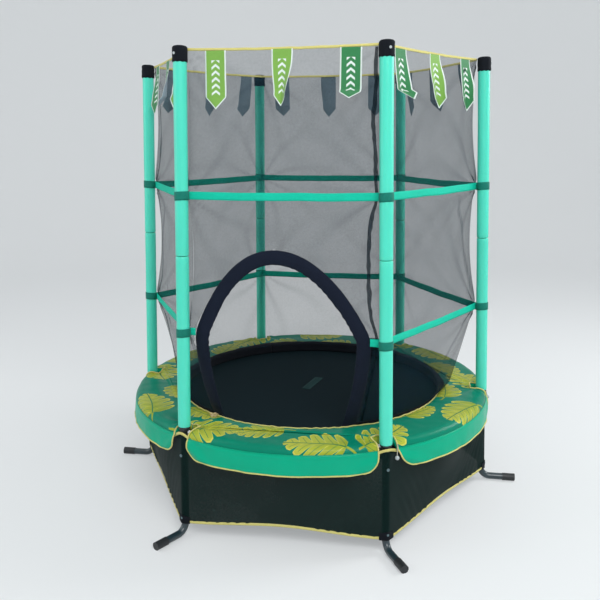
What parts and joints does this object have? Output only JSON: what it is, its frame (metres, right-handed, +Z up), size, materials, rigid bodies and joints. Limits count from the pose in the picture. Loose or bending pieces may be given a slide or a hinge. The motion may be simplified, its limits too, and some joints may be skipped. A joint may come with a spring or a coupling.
{
  "type": "trampoline",
  "caption": "Small round trampoline with a green ring pad and skirt on a round steel frame, and a six-cornered safety net with a cut-out doorway on padded poles",
  "frame": {"origin": "on the floor, under the middle of the mat", "axes": "+Z up, -Y towards the doorway, +X to the right as seen from the doorway"},
  "size_m": [1.6168, 1.4142, 1.5909],
  "materials": {
    "rail_steel": "semi-gloss black paint",
    "leg_steel": "blue-black powder coat",
    "pole_steel": "blue-black powder coat",
    "sleeve_foam": "smooth turquoise skin on foam",
    "pennant_cloth": "plain woven polyester in light and dark green",
    "net": "fine black mesh, half see-through",
    "door_binding": "padded black cloth",
    "cream_binding": "folded cream tape",
    "pocket_cloth": "black cloth",
    "webbing": "woven turquoise webbing",
    "mat": "tight black weave",
    "zinc": "zinc plate",
    "elastic": "cloth-covered elastic cord",
    "pad_vinyl": "soft green vinyl printed with split leaves",
    "foam": "white closed-cell foam",
    "skirt_cloth": "dark green cloth",
    "black_plastic": "black plastic",
    "white_plastic": "white plastic"
  },
  "bodies": {
    "frame": {"rail_section_1": "rail_steel", "rail_section_2": "rail_steel", "rail_section_3": "rail_steel", "leg_1": "leg_steel", "leg_2": "leg_steel", "leg_3": "leg_steel", "leg_4": "leg_steel", "leg_5": "leg_steel", "leg_6": "leg_steel", "pole_lower_1": "pole_steel", "pole_lower_2": "pole_steel", "pole_lower_3": "pole_steel", "pole_lower_4": "pole_steel", "pole_lower_5": "pole_steel", "pole_lower_6": "pole_steel", "pole_upper_1": "pole_steel", "pole_upper_2": "pole_steel", "pole_upper_3": "pole_steel", "pole_upper_4": "pole_steel", "pole_upper_5": "pole_steel", "pole_upper_6": "pole_steel", "foam_sleeves_1": "sleeve_foam", "foam_sleeves_2": "sleeve_foam", "foam_sleeves_3": "sleeve_foam", "foam_sleeves_4": "sleeve_foam", "foam_sleeves_5": "sleeve_foam", "foam_sleeves_6": "sleeve_foam", "net_door_panel": "net", "net_panel_2": "net", "net_panel_3": "net", "net_panel_4": "net", "net_panel_5": "net", "net_panel_6": "net", "door_arch": "door_binding", "net_top_cord": "cream_binding", "corner_pockets": "pocket_cloth", "pole_end_caps": "pole_steel", "upper_strap": "webbing", "lower_strap": "webbing", "bungee_loops": "elastic", "pad_cover": "pad_vinyl", "pad_foam": "foam", "pad_piping": "cream_binding", "skirt": "skirt_cloth", "skirt_binding": "cream_binding", "foot_tips": "black_plastic", "rail_saddles": "rail_steel", "rail_bolts": "zinc", "pole_bolts": "white_plastic", "pocket_rivets": "white_plastic", "pad_ties": "white_plastic", "skirt_snaps": "white_plastic"},
    "mat": {"jump_mat": "mat", "mat_rings": "zinc"},
    "pennant_row_1": {"pennants_1": "pennant_cloth"},
    "pennant_row_2": {"pennants_2": "pennant_cloth"},
    "pennant_row_3": {"pennants_3": "pennant_cloth"},
    "pennant_row_4": {"pennants_4": "pennant_cloth"},
    "pennant_row_5": {"pennants_5": "pennant_cloth"},
    "pennant_row_6": {"pennants_6": "pennant_cloth"}
  },
  "joints": [
    {"name": "mat_bounce", "type": "slide", "parent": "frame", "child": "mat", "axis": [0, 0, 1], "range_m": [-0.12, 0], "stiffness_N_per_m": 3000, "springref_m": 0.02, "deforming": ["bungee_loops"]},
    {"name": "pennant_swing_1", "type": "hinge", "parent": "frame", "child": "pennant_row_1", "pos_m": [0, -0.5154, 1.5765], "axis": [-1, 0, 0], "range_deg": [0, 75]},
    {"name": "pennant_swing_2", "type": "hinge", "parent": "frame", "child": "pennant_row_2", "pos_m": [0.44635, -0.2577, 1.5765], "axis": [-0.5, -0.866, 0], "range_deg": [0, 75]},
    {"name": "pennant_swing_3", "type": "hinge", "parent": "frame", "child": "pennant_row_3", "pos_m": [0.44635, 0.2577, 1.5765], "axis": [0.5, -0.866, 0], "range_deg": [0, 75]},
    {"name": "pennant_swing_4", "type": "hinge", "parent": "frame", "child": "pennant_row_4", "pos_m": [0, 0.5154, 1.5765], "axis": [1, 0, 0], "range_deg": [0, 75]},
    {"name": "pennant_swing_5", "type": "hinge", "parent": "frame", "child": "pennant_row_5", "pos_m": [-0.44635, 0.2577, 1.5765], "axis": [0.5, 0.866, 0], "range_deg": [0, 75]},
    {"name": "pennant_swing_6", "type": "hinge", "parent": "frame", "child": "pennant_row_6", "pos_m": [-0.44635, -0.2577, 1.5765], "axis": [-0.5, 0.866, 0], "range_deg": [0, 75]}
  ]
}
